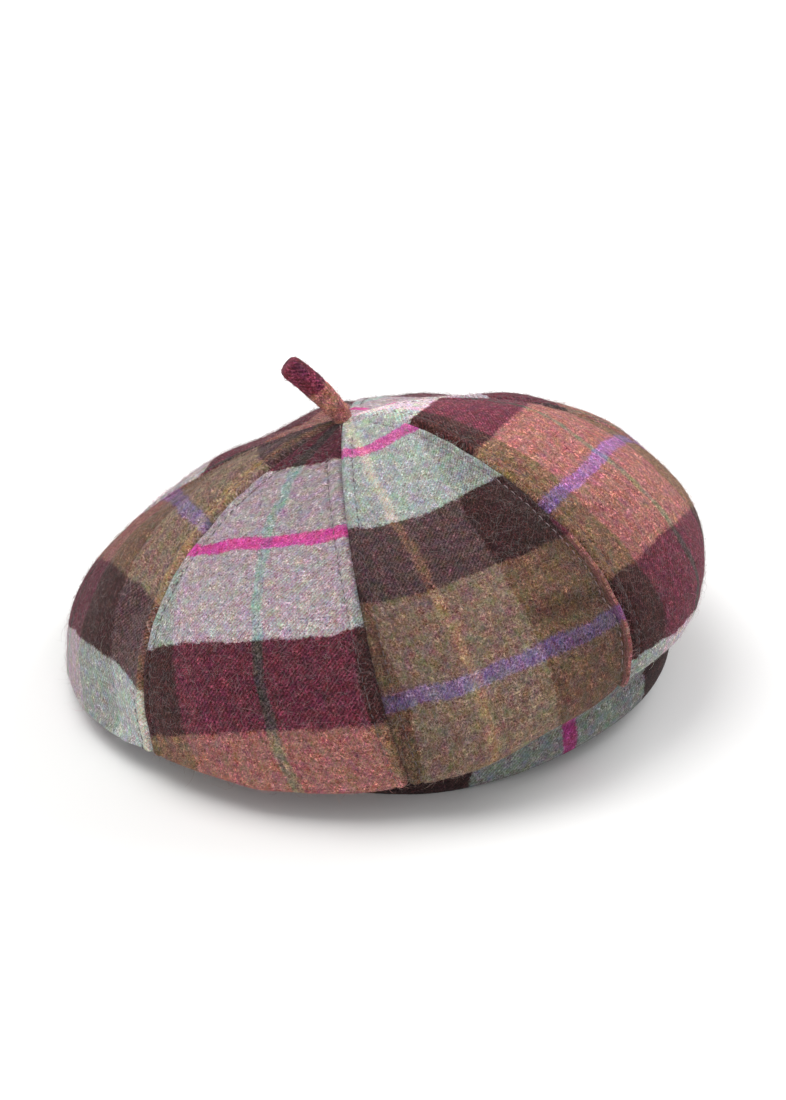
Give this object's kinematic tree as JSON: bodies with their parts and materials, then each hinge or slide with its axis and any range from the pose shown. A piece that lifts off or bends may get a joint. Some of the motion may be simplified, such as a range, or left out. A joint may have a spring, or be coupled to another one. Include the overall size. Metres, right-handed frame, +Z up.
{
  "type": "tam o shanter",
  "caption": "Soft gored wool tam in a checked cloth, with a slouched round crown, a narrow headband and a short cloth stalk on top, worn on the head.",
  "frame": {"origin": "middle of the underside, on the surface the headband rests on", "axes": "+Z up through the crown, +Y from the front of the cap to its back, +X to the right as seen from the front"},
  "size_m": [0.2294, 0.2246, 0.1176],
  "materials": {
    "check_brown": "matte fuzzy wool",
    "check_rose": "matte fuzzy wool",
    "check_green": "matte fuzzy wool",
    "check_lilac": "matte fuzzy wool",
    "stalk_rose": "matte fuzzy wool"
  },
  "bodies": {
    "root": {"crown_panel_front_right": "check_brown", "crown_panel_right": "check_rose", "crown_panel_back_right": "check_green", "crown_panel_back": "check_rose", "crown_panel_back_left": "check_lilac", "crown_panel_left_rear": "check_rose", "crown_panel_left": "check_brown", "crown_panel_front_left": "check_lilac", "headband": "check_green", "stalk": "stalk_rose"}
  },
  "joints": []
}
